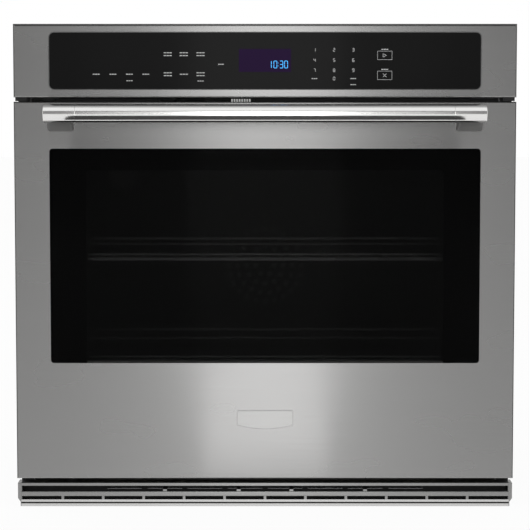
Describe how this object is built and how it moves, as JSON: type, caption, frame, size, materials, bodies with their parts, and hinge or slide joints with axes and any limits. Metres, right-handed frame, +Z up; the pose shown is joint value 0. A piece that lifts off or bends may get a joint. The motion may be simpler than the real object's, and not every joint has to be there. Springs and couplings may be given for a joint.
{
  "type": "wall oven",
  "caption": "Built-in single wall oven with control panel, drop-down glazed door, bar handle, sliding wire racks, convection fan, cooling blower and slotted vent trim",
  "frame": {"origin": "middle of the underside, half-way between the front of the handle bar and the rear of the junction box", "axes": "+Z up, the front faces -Y, +X to the right as seen from the front"},
  "size_m": [0.762, 0.686, 0.7398],
  "materials": {
    "galvanised_steel": "bare zinc-coated sheet, dull spangle",
    "duct_steel": "dark grey paint, matte",
    "foot_plastic": "moulded, matte",
    "enamel_black": "glossy dark porcelain enamel on steel",
    "rack_chrome": "bright nickel-chrome plated wire",
    "insulation_fibre": "glass-fibre blanket",
    "element_steel": "dark oxidised nickel alloy sheath",
    "motor_metal": "plain steel can",
    "fan_aluminium": "pressed sheet",
    "lens_glass": "clear borosilicate",
    "socket_ceramic": "unglazed steatite",
    "comb_plastic": "white moulding",
    "stainless_front": "horizontal brushed grain",
    "handle_steel": "fine satin grain along the bar",
    "badge_metal": "satin, blank",
    "control_black_glass": "opaque black back-printed glass, glossy",
    "display_face": "dark tinted display window",
    "circuit_board": "green solder mask",
    "carrier_plastic": "black moulding",
    "plunger_plastic": "white moulding",
    "gasket_fabric": "woven glass-fibre braid",
    "hinge_steel": "plated steel",
    "screw_steel": "plated",
    "door_black_glass": "dark tinted glass with a black printed border",
    "inner_glass": "clear heat-reflecting pane"
  },
  "bodies": {
    "chassis": {"base_pan": "duct_steel", "oven_feet": "foot_plastic", "side_panels": "galvanised_steel", "back_panel": "galvanised_steel", "top_panel": "galvanised_steel", "mounting_flanges": "duct_steel", "front_frame": "enamel_black", "casing_screws": "screw_steel", "cavity_wrapper": "enamel_black", "cavity_back": "enamel_black", "rack_supports": "rack_chrome", "insulation_wrap": "insulation_fibre", "insulation_back": "insulation_fibre", "heat_deck": "galvanised_steel", "broil_element": "element_steel", "bake_element": "element_steel", "convection_cover": "enamel_black", "convection_motor": "motor_metal", "convection_element": "element_steel", "lamp_lens": "lens_glass", "lamp_socket": "socket_ceramic", "temperature_probe": "element_steel", "blower_housing": "galvanised_steel", "blower_motor": "motor_metal", "air_duct": "duct_steel", "vent_comb": "comb_plastic", "control_bezel": "stainless_front", "control_glass": "control_black_glass", "display_module": "display_face", "control_board": "circuit_board", "panel_bracket": "carrier_plastic", "relay_board": "circuit_board", "latch_motor": "motor_metal", "door_switch": "carrier_plastic", "door_gasket": "gasket_fabric", "hinge_arms": "hinge_steel", "hinge_receivers": "galvanised_steel", "vent_trim": "stainless_front", "trim_caps": "stainless_front", "junction_box": "galvanised_steel"},
    "door": {"door_skin": "stainless_front", "door_outer_glass": "door_black_glass", "door_middle_glass": "inner_glass", "door_inner_glass": "inner_glass", "door_frame": "hinge_steel", "glass_retainers": "hinge_steel", "door_liner": "enamel_black", "door_top_vent": "carrier_plastic", "door_insulation": "insulation_fibre", "hinge_channels": "hinge_steel", "handle_bar": "handle_steel", "handle_ends": "handle_steel", "handle_screws": "screw_steel", "badge_plate": "badge_metal"},
    "lower_rack": {"lower_rack": "rack_chrome"},
    "upper_rack": {"upper_rack": "rack_chrome"},
    "convection_fan": {"convection_fan": "fan_aluminium"},
    "blower_wheel": {"blower_wheel": "fan_aluminium"},
    "latch_hook": {"latch_hook": "hinge_steel"},
    "switch_plunger": {"switch_plunger": "plunger_plastic"}
  },
  "joints": [
    {"name": "door_hinge", "type": "hinge", "parent": "chassis", "child": "door", "pos_m": [0, -0.275, 0.052], "axis": [1, 0, 0], "range_deg": [0, 88], "stiffness_Nm_per_rad": 15, "springref_deg": -22.92},
    {"name": "lower_rack_slide", "type": "slide", "parent": "chassis", "child": "lower_rack", "axis": [0, -1, 0], "range_m": [0, 0.3]},
    {"name": "upper_rack_slide", "type": "slide", "parent": "chassis", "child": "upper_rack", "axis": [0, -1, 0], "range_m": [0, 0.3]},
    {"name": "latch_turn", "type": "hinge", "parent": "chassis", "child": "latch_hook", "pos_m": [0.02, -0.215, 0.606], "axis": [0, 0, 1], "range_deg": [0, 17]},
    {"name": "switch_travel", "type": "slide", "parent": "chassis", "child": "switch_plunger", "axis": [0, -1, 0], "range_m": [0, 0.004]},
    {"name": "convection_fan_spin", "type": "hinge", "parent": "chassis", "child": "convection_fan", "pos_m": [0, 0.24, 0.33], "axis": [0, 1, 0], "continuous": true},
    {"name": "blower_wheel_spin", "type": "hinge", "parent": "chassis", "child": "blower_wheel", "pos_m": [0, 0.18, 0.65], "axis": [1, 0, 0], "continuous": true}
  ],
  "couplings": [
    {"joint": "lower_rack_slide", "follows": "door_hinge", "m_per_rad": 0.19},
    {"joint": "upper_rack_slide", "follows": "door_hinge", "m_per_rad": 0.19},
    {"joint": "switch_travel", "follows": "door_hinge", "m_per_rad": 0.0026}
  ]
}
